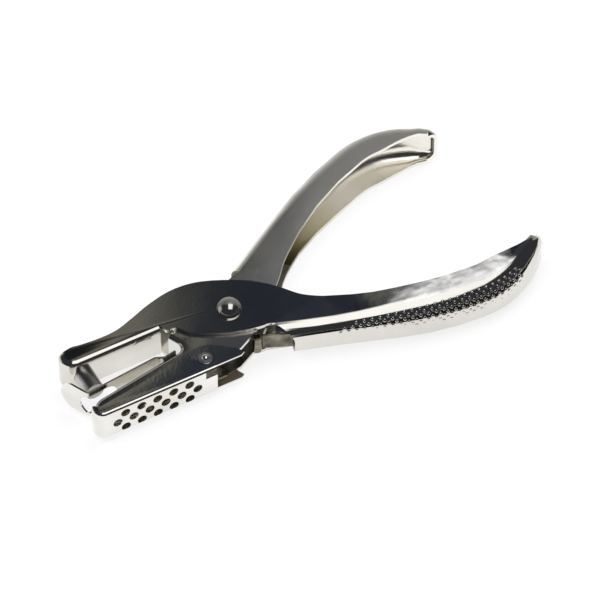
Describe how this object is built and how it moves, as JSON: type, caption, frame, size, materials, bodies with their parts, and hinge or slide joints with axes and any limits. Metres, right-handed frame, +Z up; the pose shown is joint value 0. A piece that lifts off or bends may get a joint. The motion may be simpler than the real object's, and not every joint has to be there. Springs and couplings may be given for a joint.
{
  "type": "plier hole punch",
  "caption": "Hand-held plier hole punch with folded sheet-metal levers, a short punch pin, a stripper strip and a perforated swing-out chip catcher",
  "frame": {"origin": "on the pivot axis, at the flat lower end of the pivot rivet that the tool rests on", "axes": "+X from the jaws towards the grips along the chip catcher's outer face, +Y from the catcher's jaw to the punch jaw, +Z up along the pivot axis to the domed rivet head"},
  "size_m": [0.1561, 0.076, 0.0179],
  "materials": {
    "plated_steel": "nickel-plated folded steel sheet",
    "thin_plate": "bright plated thin sheet",
    "bright_rivet": "polished plating",
    "ground_steel": "ground tool steel",
    "inner_steel": "plain turned steel",
    "spring_steel": "tempered spring strip"
  },
  "bodies": {
    "die_body": {"die_lever": "plated_steel", "pivot_rivet": "bright_rivet", "pivot_sleeve": "inner_steel", "die_ring": "ground_steel", "stripper": "thin_plate", "stripper_rivets": "bright_rivet", "catcher_rivets": "bright_rivet", "spring_eye": "spring_steel"},
    "punch_body": {"punch_lever": "plated_steel", "punch_pin": "ground_steel", "spring_leg": "spring_steel"},
    "catcher_body": {"chip_catcher": "thin_plate"}
  },
  "joints": [
    {"name": "squeeze", "type": "hinge", "parent": "die_body", "child": "punch_body", "pos_m": [0, 0, 0.0082], "axis": [0, 0, 1], "range_deg": [0, 9], "stiffness_Nm_per_rad": 0.9, "springref_deg": -20.05},
    {"name": "catcher_swing", "type": "hinge", "parent": "die_body", "child": "catcher_body", "pos_m": [-0.0152, -0.0132, 0.0082], "axis": [0, 0, 1], "range_deg": [0, 28]}
  ]
}
